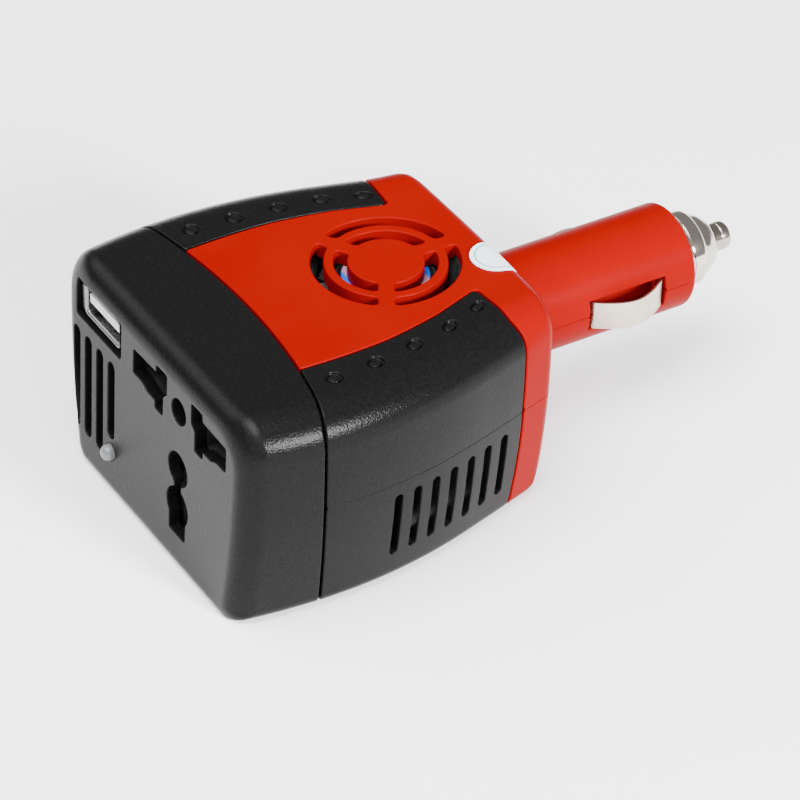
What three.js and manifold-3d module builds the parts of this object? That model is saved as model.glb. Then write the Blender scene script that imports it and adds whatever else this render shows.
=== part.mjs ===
// Plug-in car power inverter: a palm-sized case whose tail is a 12 V lighter plug.
// The case is 71 mm long, the plug another 56 mm. Millimetres, +Z up, the plug points to +Y,
// and the mains socket and USB socket face -Y. The origin is the centre of the base rectangle.

import * as THREE from 'three';
import { mergeVertices } from 'three/addons/utils/BufferGeometryUtils.js';
import Module from 'manifold-3d';

const wasm = await Module();
wasm.setup();

// ---------- Driving dimensions ----------

const HEIGHT = 45;              // case height
const FRONT_Y = -62.5;          // flat front face, at the mains socket's height
const FRONT_LEAN = 0.03;        // the face leans out towards the base, mm per mm of height
const SOCKET_Z = 35;            // height of the mains socket's middle
const BACK_Y = 7.3;             // back face, where the plug starts
const HALF_WIDTH = 37;          // widest half width
const WIDEST_Y = -40.5;         // where the case is widest
const SIDE_RADIUS = 97;         // the side walls' radius in plan
const BACK_RADIUS = 260;        // the back face's slight crown
const FLARE_RADIUS = 170;       // the side walls' radius in section, curving in towards the base
const FLARE_Z = 36.5;           // where that curve starts
const WALL = 2.2;               // case wall
const GAP = 0.35;               // gap between neighbouring pieces

const AXIS_Z = 24.8;            // plug axis, which is also the parting plane of the shells
const BARREL_R = 10.4;          // plug barrel radius
const BARREL_END_Y = 49.8;
const BARREL_BORE_R = 8.2;
const NECK_Y = 42.5;            // where the barrel's bore narrows to the end cap's thread
const NECK_R = 6.9;
const TIP_END_Y = 63.5;         // end of the centre contact
const TIP_R = 2.8;

const CAP_SEAM_Y = -42.4;       // seam between front cap and shells, on the centre line
const CAP_SEAM_RADIUS = 140;

const FAN = { x: 0, y: -13.5, half: 15, bottom: 34.0, top: 42.2, bore: 14 };
const GRILLE_RINGS = [[7.1, 9.8], [11.5, 14.1]];
const SPOKE_WIDTH = 2.9;

const VENT = { first: -31.5, pitch: 4.3, count: 7, width: 1.7, low: 6.9, high: 21.8 };
const FRONT_VENT = { first: -29.0, pitch: 4.5, width: 2.5, low: 7, high: 29.6, shortLow: 12.4 };

const SOCKET_X = 10.2;          // centre line of the mains socket
const USB = { x: -20.45, z: 36.5, width: 13.1, height: 5.8 };
const LED = { x: -15.7, z: 9.1, r: 1.6, proud: 0.3 };

const SCREWS = [[-17.5, -37.5], [17.5, -37.5], [-18.3, 1.3], [18.3, 1.3]];
const BOARD_Z = 7;

const RED = 0xc22314;
const BLACK = 0x242425;

// ---------- Solids and booleans ----------

function toSolid(geometry) {
  const bare = geometry.index ? geometry.toNonIndexed() : geometry.clone();
  for (const name of Object.keys(bare.attributes)) {
    if (name !== 'position') bare.deleteAttribute(name);
  }
  const merged = mergeVertices(bare, 1e-4);
  return new wasm.Manifold(new wasm.Mesh({
    numProp: 3,
    vertProperties: new Float32Array(merged.attributes.position.array),
    triVerts: new Uint32Array(merged.index.array),
  }));
}

function toGeometry(solid) {
  const mesh = solid.getMesh();
  const geometry = new THREE.BufferGeometry();
  geometry.setAttribute('position', new THREE.BufferAttribute(new Float32Array(mesh.vertProperties), 3));
  geometry.setIndex(new THREE.BufferAttribute(new Uint32Array(mesh.triVerts), 1));
  geometry.computeVertexNormals();
  return geometry;
}

const join = (first, ...rest) => rest.reduce((sum, piece) => sum.add(piece), first);
const cut = (first, ...tools) => tools.reduce((left, tool) => left.subtract(tool), first);

function box(x0, x1, y0, y1, z0, z1) {
  const geometry = new THREE.BoxGeometry(x1 - x0, y1 - y0, z1 - z0);
  geometry.translate((x0 + x1) / 2, (y0 + y1) / 2, (z0 + z1) / 2);
  return toSolid(geometry);
}

// An outline drawn in one of the three planes, extruded from one coordinate to another.
const PLANES = {
  plan: [[1, 0, 0], [0, 1, 0], [0, 0, 1]],      // (x, y) extruded along +Z
  side: [[0, 1, 0], [0, 0, 1], [1, 0, 0]],      // (y, z) extruded along +X
  front: [[1, 0, 0], [0, 0, 1], [0, -1, 0]],    // (x, z) extruded along -Y
};

function extrude(plane, shape, from, to, curveSegments = 12) {
  const outline = Array.isArray(shape) ? new THREE.Shape(shape.map(([a, b]) => new THREE.Vector2(a, b))) : shape;
  const geometry = new THREE.ExtrudeGeometry(outline, { depth: to - from, bevelEnabled: false, curveSegments });
  const [u, v, w] = PLANES[plane].map((axis) => new THREE.Vector3(...axis));
  const start = plane === 'front' ? w.clone().multiplyScalar(-to) : w.clone().multiplyScalar(from);
  geometry.applyMatrix4(new THREE.Matrix4().makeBasis(u, v, w).setPosition(start));
  return toSolid(geometry);
}

function circle(cx, cy, r) {
  const shape = new THREE.Shape();
  shape.absarc(cx, cy, r, 0, 2 * Math.PI, false);
  return shape;
}

// A slot with round ends whose long axis is the outline's second coordinate.
function slot(cx, low, high, width) {
  const r = width / 2;
  const shape = new THREE.Shape();
  shape.absarc(cx, high - r, r, 0, Math.PI, false);
  shape.absarc(cx, low + r, r, Math.PI, 2 * Math.PI, false);
  return shape;
}

// A solid of revolution about the plug's axis, from [distance along Y, radius] pairs.
function turned(profile, segments = 32) {
  const points = profile.map(([y, r]) => new THREE.Vector2(r, y));
  const geometry = new THREE.LatheGeometry([...points, points[0].clone()], segments);
  geometry.translate(0, 0, AXIS_Z);
  const solid = toSolid(geometry);
  return solid.volume() < 0 ? toSolid(flipped(geometry)) : solid;
}

// The same about a vertical axis at (cx, cy), from [radius, z] pairs.
function turnedUp(profile, cx, cy, segments = 32) {
  const points = profile.map(([r, z]) => new THREE.Vector2(r, z));
  const geometry = new THREE.LatheGeometry([...points, points[0].clone()], segments);
  geometry.rotateX(Math.PI / 2);
  geometry.translate(cx, cy, 0);
  const solid = toSolid(geometry);
  return solid.volume() < 0 ? toSolid(flipped(geometry)) : solid;
}

function flipped(geometry) {
  const copy = geometry.toNonIndexed();
  const position = copy.attributes.position;
  for (let i = 0; i < position.count; i += 3) {
    const [x, y, z] = [position.getX(i), position.getY(i), position.getZ(i)];
    position.setXYZ(i, position.getX(i + 1), position.getY(i + 1), position.getZ(i + 1));
    position.setXYZ(i + 1, x, y, z);
  }
  return copy;
}

// ---------- The case's outer form ----------

const frontAt = (z) => FRONT_Y + FRONT_LEAN * (z - SOCKET_Z);
const halfWidthAt = (y) => HALF_WIDTH - (y - WIDEST_Y) ** 2 / (2 * SIDE_RADIUS);

// Inset of a rounded edge at a given depth below (or above) the face that it rounds.
function roundInset(depth, height, width) {
  if (depth >= height) return 0;
  const t = 1 - depth / height;
  return width * (1 - Math.sqrt(Math.max(0, 1 - t * t)));
}

// Replaces each corner that has a radius with an arc.
function roundCorners(corners, steps = 4) {
  const result = [];
  corners.forEach(([x, y, r], i) => {
    if (!r) {
      result.push([x, y]);
      return;
    }
    const [px, py] = corners[(i + corners.length - 1) % corners.length];
    const [nx, ny] = corners[(i + 1) % corners.length];
    const a = new THREE.Vector2(px - x, py - y).normalize();
    const b = new THREE.Vector2(nx - x, ny - y).normalize();
    const half = Math.acos(a.dot(b)) / 2;
    const centre = a.clone().add(b).normalize().multiplyScalar(r / Math.sin(half)).add(new THREE.Vector2(x, y));
    const from = a.clone().multiplyScalar(r / Math.tan(half)).add(new THREE.Vector2(x, y)).sub(centre);
    const turn = Math.PI - 2 * half;
    for (let k = 0; k <= steps; k += 1) {
      const p = from.clone().rotateAround(new THREE.Vector2(0, 0), turn * k / steps).add(centre);
      result.push([p.x, p.y]);
    }
  });
  return result;
}

// The case's plan outline at one height, counter-clockwise, shrunk by `inset` all round.
function caseOutline(z, inset) {
  const fromTop = HEIGHT - inset - z;
  const fromBase = z - inset;
  const flare = z < FLARE_Z ? (FLARE_Z - z) ** 2 / (2 * FLARE_RADIUS) : 0;
  const side = inset + flare + roundInset(fromTop, 7.5 - inset, 8.5 - inset) + roundInset(fromBase, 3 - inset, 3 - inset);
  const front = frontAt(z) + inset + roundInset(fromTop, 4.5 - inset, 4.5 - inset)
    + roundInset(fromBase, 3 - inset, 2.7 - inset);
  const back = BACK_Y - inset - roundInset(fromTop, 3.5 - inset, 3.2 - inset)
    - roundInset(fromBase, 10 - inset, 4 - inset);
  const backAt = (x) => back - x * x / (2 * BACK_RADIUS);
  const sideAt = (y) => halfWidthAt(y) - side;
  const backCorner = sideAt(backAt(26));
  const right = [-52, -44, -36, -28, -20, -12, -5].map((y) => [sideAt(y), y, 0]);
  const left = right.map(([x, y]) => [-x, y, 0]).reverse();
  const crown = [14, 0, -14].map((x) => [x, backAt(x), 0]);
  return roundCorners([
    [-sideAt(front), front, 5.5 - inset],
    [sideAt(front), front, 5.5 - inset],
    ...right,
    [backCorner, backAt(26), 3.2 - inset],
    ...crown,
    [-backCorner, backAt(26), 3.2 - inset],
    ...left,
  ]);
}

function caseForm(inset, levels) {
  const rings = levels.map((z) => caseOutline(z, inset).map(([x, y]) => [x, y, z]));
  const n = rings[0].length;
  const centre = (ring) => [0, (FRONT_Y + BACK_Y) / 2, ring[0][2]];
  const vertices = [...rings.flat(), centre(rings[0]), centre(rings.at(-1))];
  const faces = [];
  for (let i = 0; i < n; i += 1) {
    const j = (i + 1) % n;
    faces.push([rings.length * n, j, i]);
    for (let k = 0; k + 1 < rings.length; k += 1) {
      faces.push([k * n + i, k * n + j, (k + 1) * n + j], [k * n + i, (k + 1) * n + j, (k + 1) * n + i]);
    }
    faces.push([rings.length * n + 1, (rings.length - 1) * n + i, (rings.length - 1) * n + j]);
  }
  const geometry = new THREE.BufferGeometry();
  geometry.setAttribute('position', new THREE.Float32BufferAttribute(vertices.flat(), 3));
  geometry.setIndex(faces.flat());
  return toSolid(geometry);
}

const outerForm = caseForm(0, [0, 0.3, 1.2, 3, 7, 14, 22, 30, 37.5, 40.4, 42.4, 43.8, 44.7, 45]);
const innerForm = caseForm(WALL, [2.2, 3, 8, 16, 26, 37.5, 40.4, 42, 42.8]);
const caseWall = cut(outerForm, innerForm);

// ---------- Where the case divides ----------

const capSeamAt = (x) => CAP_SEAM_Y - x * x / (2 * CAP_SEAM_RADIUS);
const SEAM_XS = [-45, -36, -28, -20, -10, 0, 10, 20, 28, 36, 45];

// Everything in front of (side -1) or behind (side +1) the cap seam.
function seamSide(side) {
  const seam = SEAM_XS.map((x) => [x, capSeamAt(x) + side * GAP / 2]);
  return extrude('plan', [...seam, [45, side * 90], [-45, side * 90]], -5, HEIGHT + 5);
}

// Plan of one grip on the +X side: it covers the side wall and wraps onto the top and base.
function gripPlan(grow) {
  return [
    [21.2 - grow, -80], [21.2 - grow, -25.5], [20.2 - grow, -19.5], [18.9 - grow, -13.5],
    [17.2 - grow, -8.5], [15.6 - grow, -3.8 + grow], [26, -2.8 + grow], [28.9, -1.2 + grow],
    [45, -0.5 + grow], [45, -80],
  ];
}

const gripRegion = (sideSign, grow) => extrude(
  'plan', gripPlan(grow).map(([x, y]) => [sideSign * x, y]), -5, HEIGHT + 5);

const above = box(-60, 60, -90, 90, AXIS_Z + GAP / 2, 80);
const below = box(-60, 60, -90, 90, -20, AXIS_Z - GAP / 2);

// ---------- Openings ----------

function grilleCutter() {
  const rings = GRILLE_RINGS.map(([inner, outer]) => turnedUp(
    [[inner, HEIGHT - 8], [outer, HEIGHT - 8], [outer, HEIGHT + 2], [inner, HEIGHT + 2]], FAN.x, FAN.y, 30));
  let cutter = join(...rings);
  [90, 210, 330].forEach((degrees) => {
    const spoke = new THREE.BoxGeometry(20, SPOKE_WIDTH, 14);
    spoke.translate(10, 0, HEIGHT - 3);
    spoke.rotateZ(THREE.MathUtils.degToRad(degrees));
    spoke.translate(FAN.x, FAN.y, 0);
    cutter = cutter.subtract(toSolid(spoke));
  });
  return cutter;
}

// Seven upright slots through each side wall.
function sideVentCutter(sideSign) {
  const slots = Array.from({ length: VENT.count }, (_, i) => extrude(
    'side', slot(VENT.first + i * VENT.pitch, VENT.low, VENT.high, VENT.width),
    sideSign > 0 ? 15 : -50, sideSign > 0 ? 50 : -15, 4));
  return join(...slots);
}

// One half of the universal mains aperture, drawn at a distance u from the socket's centre line.
const APERTURE = [
  [17.2, 38.1], [8.6, 38.4], [8.6, 40], [4.6, 40], [4.6, 35.8], [6, 34.6], [6, 30.4],
  [8.9, 30.4], [8.9, 32], [12, 32.1], [13.8, 33], [17.2, 33],
];
const aperture = (sideSign, from, to) => extrude(
  'front', APERTURE.map(([u, z]) => [SOCKET_X + sideSign * u, z]), from, to);

// The earth way: a round hole above a larger one with a square foot, joined by a narrow slit.
function earthWay(from, to) {
  return join(
    extrude('front', circle(SOCKET_X, 22.3, 3.5), from, to, 10),
    extrude('front', circle(SOCKET_X, 13.9, 3.9), from, to, 10),
    box(SOCKET_X - 2.9, SOCKET_X + 2.9, from, to, 7.4, 13),
    box(SOCKET_X - 1.2, SOCKET_X + 1.2, from, to, 14, 22),
  );
}

function frontCutter() {
  const [from, to] = [FRONT_Y - 4, FRONT_Y + 6];
  const vents = [0, 1, 2, 3].map((i) => {
    const low = i < 3 ? FRONT_VENT.low : FRONT_VENT.shortLow;
    return extrude('front', slot(FRONT_VENT.first + i * FRONT_VENT.pitch, low, FRONT_VENT.high, FRONT_VENT.width),
      from, to, 4);
  });
  return join(
    aperture(-1, from, to), aperture(1, from, to), earthWay(from, to),
    extrude('front', circle(SOCKET_X, 35.1, 2.6), from, to, 8),
    box(USB.x - 8.6, USB.x + 8.6, from, to, 32.5, 40.5),
    extrude('front', circle(LED.x, LED.z, LED.r + 0.12), from, to, 8),
    ...vents,
  );
}

// ---------- Case pieces ----------

const screwBoss = ([x, y], z0, z1) => turnedUp([[0, z0], [3, z0], [3, z1], [0, z1]], x, y, 10);
const screwHole = ([x, y], r, z0, z1) => turnedUp([[0, z0], [r, z0], [r, z1], [0, z1]], x, y, 10);

function barrel() {
  return turned([
    [BACK_Y - 2, BARREL_BORE_R], [NECK_Y, BARREL_BORE_R], [NECK_Y, NECK_R], [BARREL_END_Y, NECK_R],
    [BARREL_END_Y, 9.2], [BARREL_END_Y - 0.4, 9.9], [BARREL_END_Y - 1.3, BARREL_R - 0.1], [BACK_Y - 2, BARREL_R],
  ], 28);
}

const CONTACT = { from: 26.0, to: 42.2, halfWidth: 2.95, bow: 3.5, inner: 9.9 };
const contactWindow = box(-15, 15, CONTACT.from - GAP, CONTACT.to + GAP,
  AXIS_Z - 0.25 - CONTACT.halfWidth - GAP, AXIS_Z - 0.25 + CONTACT.halfWidth + GAP);

function shellBody() {
  const bore = turned([[-5, 0], [-5, BARREL_BORE_R], [NECK_Y, BARREL_BORE_R], [NECK_Y, 0]], 28);
  const bare = cut(caseWall.intersect(seamSide(1)), gripRegion(1, GAP), gripRegion(-1, GAP));
  return cut(join(bare, barrel()), bore, contactWindow);
}

function buildShells() {
  const body = shellBody();
  const topBosses = SCREWS.map((at) => screwBoss(at, AXIS_Z, HEIGHT - 1.5));
  const baseBosses = SCREWS.map((at) => screwBoss(at, 1.5, AXIS_Z));
  const pilots = SCREWS.map((at) => screwHole(at, 1.45, AXIS_Z - 2, 33));
  const throughs = SCREWS.flatMap((at) => [screwHole(at, 1.6, 5, AXIS_Z + 1), screwHole(at, 2.8, -1, 8)]);
  const top = cut(join(body, ...topBosses), grilleCutter(), ...pilots).intersect(above);
  const bottom = cut(join(body, ...baseBosses), ...throughs).intersect(below);
  return { top, bottom };
}

// A row of five round studs along each upper grip, each in a shallow ring groove.
const GRIP_STUDS = [[26.4, -39.8], [25.9, -31.0], [24.8, -22.2], [23.1, -13.8], [20.4, -5.7 - 0.6]];

function buildGrip(sideSign, upper) {
  const panel = caseWall.intersect(seamSide(1)).intersect(gripRegion(sideSign, 0));
  if (!upper) return cut(panel, sideVentCutter(sideSign)).intersect(below);
  const grooves = GRIP_STUDS.map(([x, y]) => turnedUp(
    [[1.2, HEIGHT - 0.5], [1.75, HEIGHT - 0.5], [1.75, HEIGHT + 1], [1.2, HEIGHT + 1]], sideSign * x, y, 10));
  return cut(panel.intersect(above), ...grooves);
}

const buildFrontCap = () => cut(caseWall.intersect(seamSide(-1)), frontCutter());

// ---------- Sockets on the front ----------

function buildSocketBlock() {
  const [from, to] = [-59.9, -49.5];
  const body = box(-8.5, 29, from, to, 4.4, 41.2);
  const trimmed = body.intersect(caseForm(WALL + GAP, [2.8, 6, 16, 26, 37, 40, 42]));
  return cut(trimmed, aperture(-1, from - 1, -52), aperture(1, from - 1, -52), earthWay(from - 1, -52));
}

// A folded brass leaf that grips a plug pin, with its tail through the back of the block.
function buildLeaf(x, z, width, height) {
  const outer = box(x - width / 2, x + width / 2, -57.5, -52.4, z - height / 2, z + height / 2);
  return cut(outer, box(x - width / 2 - 1, x + width / 2 + 1, -59, -53, z - height / 2 + 0.5, z + height / 2 - 0.5));
}

function buildUsbShell() {
  const { x, z, width, height } = USB;
  const [w, h] = [width / 2, height / 2];
  const flange = box(x - w - 1.3, x + w + 1.3, FRONT_Y + 0.8, FRONT_Y + 1.2, z - h - 0.7, z + h + 0.7);
  const tube = box(x - w, x + w, FRONT_Y + 0.8, -49.5, z - h, z + h);
  return cut(join(tube, flange), box(x - w + 0.3, x + w - 0.3, FRONT_Y, -50, z - h + 0.3, z + h - 0.3));
}

const buildUsbTongue = () => join(
  box(USB.x - 5.6, USB.x + 5.6, -61.2, -52, USB.z - 0.2, USB.z + 1.6),
  box(USB.x - 5.9, USB.x + 5.9, -52, -50.3, USB.z - 2.3, USB.z + 2.3));

function buildLed() {
  const face = frontAt(LED.z);
  const dome = Array.from({ length: 5 }, (_, i) => {
    const a = i * Math.PI / 8;
    return [face - LED.proud - LED.r * Math.sin(a), LED.r * Math.cos(a)];
  });
  const profile = [[face + 4.5, 0], [face + 4.5, 1.9], [face + 3.2, 1.9], [face + 3.2, LED.r], ...dome];
  return turned(profile, 14).translate([LED.x, 0, LED.z - AXIS_Z]);
}

// ---------- 12 V plug ----------

function buildSideContact(sideSign) {
  const { from, to, halfWidth, bow, inner } = CONTACT;
  const steps = Array.from({ length: 13 }, (_, i) => i / 12);
  const y = (t) => from + 0.1 + (to - from - 0.2) * t;
  const face = steps.map((t) => [inner + bow * Math.sin(Math.PI * t), y(t)]);
  const back = steps.map((t) => [inner - 0.5 + bow * Math.sin(Math.PI * t), y(0.04 + 0.92 * t)]).reverse();
  const outline = [[8.6, y(0)], ...face, [8.6, y(1)], [8.6, y(0.96)], ...back, [8.6, y(0.04)]];
  return extrude('plan', outline.map(([x, v]) => [sideSign * x, v]),
    AXIS_Z - 0.25 - halfWidth, AXIS_Z - 0.25 + halfWidth);
}

const buildEndCap = () => turned([
  [44, 5], [56, 5], [56, 3.15], [58.9, 3.15], [58.9, 3.7], [57.9, 5.0], [56.2, 6.1], [54.6, 6.8], [54.2, 7.2],
  [53.8, 7.4], [50.2, 7.4], [50.2, 6.6], [44, 6.6],
], 24);

const buildTip = () => turned([
  [52.7, 0], [52.7, 4.5], [53.8, 4.5], [53.8, TIP_R], [62.6, TIP_R], [63.1, 2.4], [63.4, 1.5], [TIP_END_Y, 0],
], 18);

const buildWasher = () => turned([[54.1, 3.15], [54.1, 4.7], [55.7, 4.7], [55.7, 3.15]], 14);

const buildFuse = () => turned([
  [22.4, 0], [22.4, 3.15], [28.4, 3.15], [28.4, 2.85], [46.4, 2.85], [46.4, 3.15], [52.4, 3.15], [52.4, 0],
], 12);

const buildFuseCarrier = () => turned([
  [9, 1], [9, 5.2], [42, 5.2], [42, 3.6], [10.4, 3.6], [10.4, 1],
], 14);

const buildRearContact = () => turned([[10.7, 0], [10.7, 3.2], [11.4, 3.2], [11.4, 0]], 12);

function helix(turns, radius, from, to) {
  const points = Array.from({ length: turns * 8 + 1 }, (_, i) => {
    const t = i / (turns * 8);
    const angle = 2 * Math.PI * turns * t;
    return new THREE.Vector3(radius * Math.cos(angle), from + (to - from) * t, AXIS_Z + radius * Math.sin(angle));
  });
  return new THREE.CatmullRomCurve3(points);
}

// A round wire of the given radius along a curve.
function wire(curve, radius, steps, sides = 5) {
  const section = Array.from({ length: sides }, (_, i) => {
    const a = 2 * Math.PI * i / sides;
    return new THREE.Vector2(radius * Math.cos(a), radius * Math.sin(a));
  });
  return toSolid(new THREE.ExtrudeGeometry(new THREE.Shape(section), {
    extrudePath: curve, steps, bevelEnabled: false,
  }));
}

const buildFuseSpring = () => wire(helix(6, 2.5, 12.2, 21.4), 0.35, 48);

// ---------- Cooling fan ----------

const HUB_R = 9.4;
const BLADE_TIP_R = 13.4;

function buildFanFrame() {
  const { x, y, half, bottom, top, bore } = FAN;
  const frame = box(x - half, x + half, y - half, y + half, bottom, top);
  const opening = turnedUp([[0, bottom - 1], [bore, bottom - 1], [bore, top + 1], [0, top + 1]], x, y, 28);
  const motor = turnedUp([[0, bottom], [7.4, bottom], [7.4, bottom + 1.2], [0, bottom + 1.2]], x, y, 16);
  const struts = [30, 150, 270].map((degrees) => {
    const bar = new THREE.BoxGeometry(9, 1.6, 1.2);
    bar.translate(11, 0, bottom + 0.6);
    bar.rotateZ(THREE.MathUtils.degToRad(degrees));
    bar.translate(x, y, 0);
    return toSolid(bar);
  });
  return join(cut(frame, opening), motor, ...struts);
}

function buildFanRotor() {
  const { x, y, bottom, top } = FAN;
  const hub = turnedUp([
    [0, bottom + 1.7], [HUB_R, bottom + 1.7], [HUB_R, top - 0.6], [0, top - 0.6],
  ], x, y, 20);
  const blades = Array.from({ length: 7 }, (_, i) => {
    const blade = new THREE.BoxGeometry(BLADE_TIP_R - HUB_R + 1, 0.8, 6);
    blade.rotateX(THREE.MathUtils.degToRad(48));
    blade.translate((BLADE_TIP_R + HUB_R - 1) / 2, 0, (bottom + top) / 2 + 0.6);
    blade.rotateZ(2 * Math.PI * i / 7);
    blade.translate(x, y, 0);
    return toSolid(blade);
  });
  return join(hub, ...blades);
}

const buildHubLabel = () => turnedUp(
  [[0, FAN.top - 0.5], [9, FAN.top - 0.5], [9, FAN.top - 0.35], [0, FAN.top - 0.35]], FAN.x, FAN.y, 18);

// ---------- Electronics ----------

function buildBoard() {
  const board = box(-24, 24, -45, -3.5, BOARD_Z, BOARD_Z + 1.6);
  const notches = SCREWS.map((at) => screwHole(at, 3.4, BOARD_Z - 1, BOARD_Z + 3));
  return cut(board.intersect(caseForm(WALL + 0.8, [3, 6, 9, 12])), ...notches);
}

function buildTransformerCore() {
  const block = box(-11, 11, -40, -22, 9.2, 27);
  return cut(block, box(-8, -4, -41, -21, 12.5, 23.7), box(4, 8, -41, -21, 12.5, 23.7));
}

const buildTransformerWinding = () => cut(
  box(-7.6, 7.6, -41.6, -20.4, 12.8, 23.4), box(-4.3, 4.3, -40.3, -21.7, 8, 30));

const capacitor = (x, y, r, height) => turnedUp([
  [0, 8.9], [r, 8.9], [r, 10.4], [r - 0.4, 10.8], [r, 11.2], [r, 8.9 + height - 0.5], [r - 0.5, 8.9 + height],
  [0, 8.9 + height],
], x, y, 12);

function buildHeatsink() {
  const plate = box(-12, 12, -13.5, -11.5, 9.2, 26);
  const fins = [-10, -6, -2, 2, 6, 10].map((x) => box(x - 0.5, x + 0.5, -11.6, -6.5, 9.2, 26));
  return join(plate, ...fins);
}

const transistor = (x) => join(
  box(x - 5, x + 5, -18.3, -13.8, 11.5, 20.5), box(x - 5, x + 5, -15.1, -13.8, 20.5, 25.5));

function buildScrew([x, y]) {
  const body = turnedUp([[0, 6.0], [2.5, 6.0], [2.5, 7.1], [1.25, 7.7], [1.25, 28], [0, 30]], x, y, 10);
  const slotWide = box(x - 0.4, x + 0.4, y - 1.6, y + 1.6, 5, 6.8);
  const slotLong = box(x - 1.6, x + 1.6, y - 0.4, y + 0.4, 5, 6.8);
  return cut(body, slotWide, slotLong);
}

// A round paper label laid over the case's back top edge.
function buildSticker() {
  const ball = new THREE.SphereGeometry(4.9, 24, 14);
  ball.translate(8.8, 4.8, HEIGHT);
  const levels = (inset) => [38, 41.5, 42.6, 43.5, 44.3, 44.8].map((z) => z - inset).concat(HEIGHT - inset);
  const film = cut(caseForm(-0.3, levels(-0.3)), caseForm(-0.1, [34, ...levels(-0.1)]));
  return toSolid(ball).intersect(film);
}

const buildLead = (sideSign) => wire(new THREE.CatmullRomCurve3([
  new THREE.Vector3(sideSign * 6.6, 16, AXIS_Z - 1),
  new THREE.Vector3(sideSign * 6.6, 6, AXIS_Z - 1),
  new THREE.Vector3(sideSign * 9, 1, AXIS_Z - 5),
  new THREE.Vector3(sideSign * 11, -3, 14),
  new THREE.Vector3(sideSign * 11.5, -5, 9.8),
]), 0.9, 12, 6);

// ---------- Assembly ----------

const inverter = new THREE.Group();

function add(name, solid, color, roughness, metalness = 0) {
  const mesh = new THREE.Mesh(toGeometry(solid), new THREE.MeshStandardMaterial({ color, roughness, metalness }));
  mesh.name = name;
  inverter.add(mesh);
}

const shells = buildShells();
add('front_cap', buildFrontCap(), BLACK, 0.55);
add('top_shell', shells.top, RED, 0.4);
add('bottom_shell', shells.bottom, RED, 0.4);
[['left', -1], ['right', 1]].forEach(([side, sign]) => {
  add(`grip_upper_${side}`, buildGrip(sign, true), BLACK, 0.55);
  add(`grip_lower_${side}`, buildGrip(sign, false), BLACK, 0.55);
  add(`side_contact_${side}`, buildSideContact(sign), 0xd8cfc2, 0.3, 1);
});

add('socket_block', buildSocketBlock(), 0x1b1b1c, 0.6);
add('contact_live', buildLeaf(SOCKET_X + 11, 35.5, 6, 4.8), 0xb99a4a, 0.35, 1);
add('contact_neutral', buildLeaf(SOCKET_X - 11, 35.5, 6, 4.8), 0xb99a4a, 0.35, 1);
add('contact_earth', buildLeaf(SOCKET_X, 13.9, 5, 5.2), 0xb99a4a, 0.35, 1);
add('usb_shell', buildUsbShell(), 0xc9c9c6, 0.3, 1);
add('usb_tongue', buildUsbTongue(), 0xe6e4de, 0.5);
add('status_led', buildLed(), 0xc9ccd0, 0.3);

add('end_cap', buildEndCap(), 0xcfc9bf, 0.25, 1);
add('tip_contact', buildTip(), 0xcfc9bf, 0.25, 1);
add('insulating_washer', buildWasher(), 0x5c4632, 0.6);
add('fuse', buildFuse(), 0xd9dcdc, 0.2);
add('fuse_spring', buildFuseSpring(), 0xb9b9b4, 0.35, 1);
add('fuse_carrier', buildFuseCarrier(), 0x202020, 0.6);
add('rear_contact', buildRearContact(), 0xb99a4a, 0.35, 1);

add('fan_frame', buildFanFrame(), 0x161617, 0.5);
add('fan_rotor', buildFanRotor(), 0x161617, 0.5);
add('fan_hub_label', buildHubLabel(), 0xb8bcc4, 0.4);

add('circuit_board', buildBoard(), 0x2f6b3c, 0.5);
add('transformer_core', buildTransformerCore(), 0x2b2b2d, 0.7);
add('transformer_winding', buildTransformerWinding(), 0xc9a227, 0.5);
add('input_capacitor_left', capacitor(-16.5, -24, 4, 16), 0x2b4fa3, 0.4);
add('input_capacitor_right', capacitor(16.5, -24, 4, 16), 0x2b4fa3, 0.4);
add('output_capacitor', capacitor(-16.5, -14, 4.5, 18), 0x2b4fa3, 0.4);
add('heatsink', buildHeatsink(), 0xb4b7ba, 0.4, 1);
add('transistor_left', transistor(-6), 0x1d1d1e, 0.5);
add('transistor_right', transistor(6), 0x1d1d1e, 0.5);
add('supply_lead_left', buildLead(-1), 0x1d1d1e, 0.5);
add('supply_lead_right', buildLead(1), 0xb32a1c, 0.5);

SCREWS.forEach((at, i) => add(`case_screw_${i + 1}`, buildScrew(at), 0x8f8f8f, 0.35, 1));
add('inspection_sticker', buildSticker(), 0xeef3f5, 0.45);

// The drawing's own y = 0 becomes the middle between the indicator lamp and the tip of the plug.
const LAMP_END_Y = frontAt(LED.z) - LED.proud - LED.r;
inverter.position.y = -(LAMP_END_Y + TIP_END_Y) / 2;

export default inverter;
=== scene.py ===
"""Looks of a plug-in power inverter with mains and USB sockets and a cooling fan, built round its CAD frame."""

import math
from math import cos, pi, sin

import bpy
import numpy as np
from mathutils import Matrix, Vector
from mathutils.geometry import delaunay_2d_cdt


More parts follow.
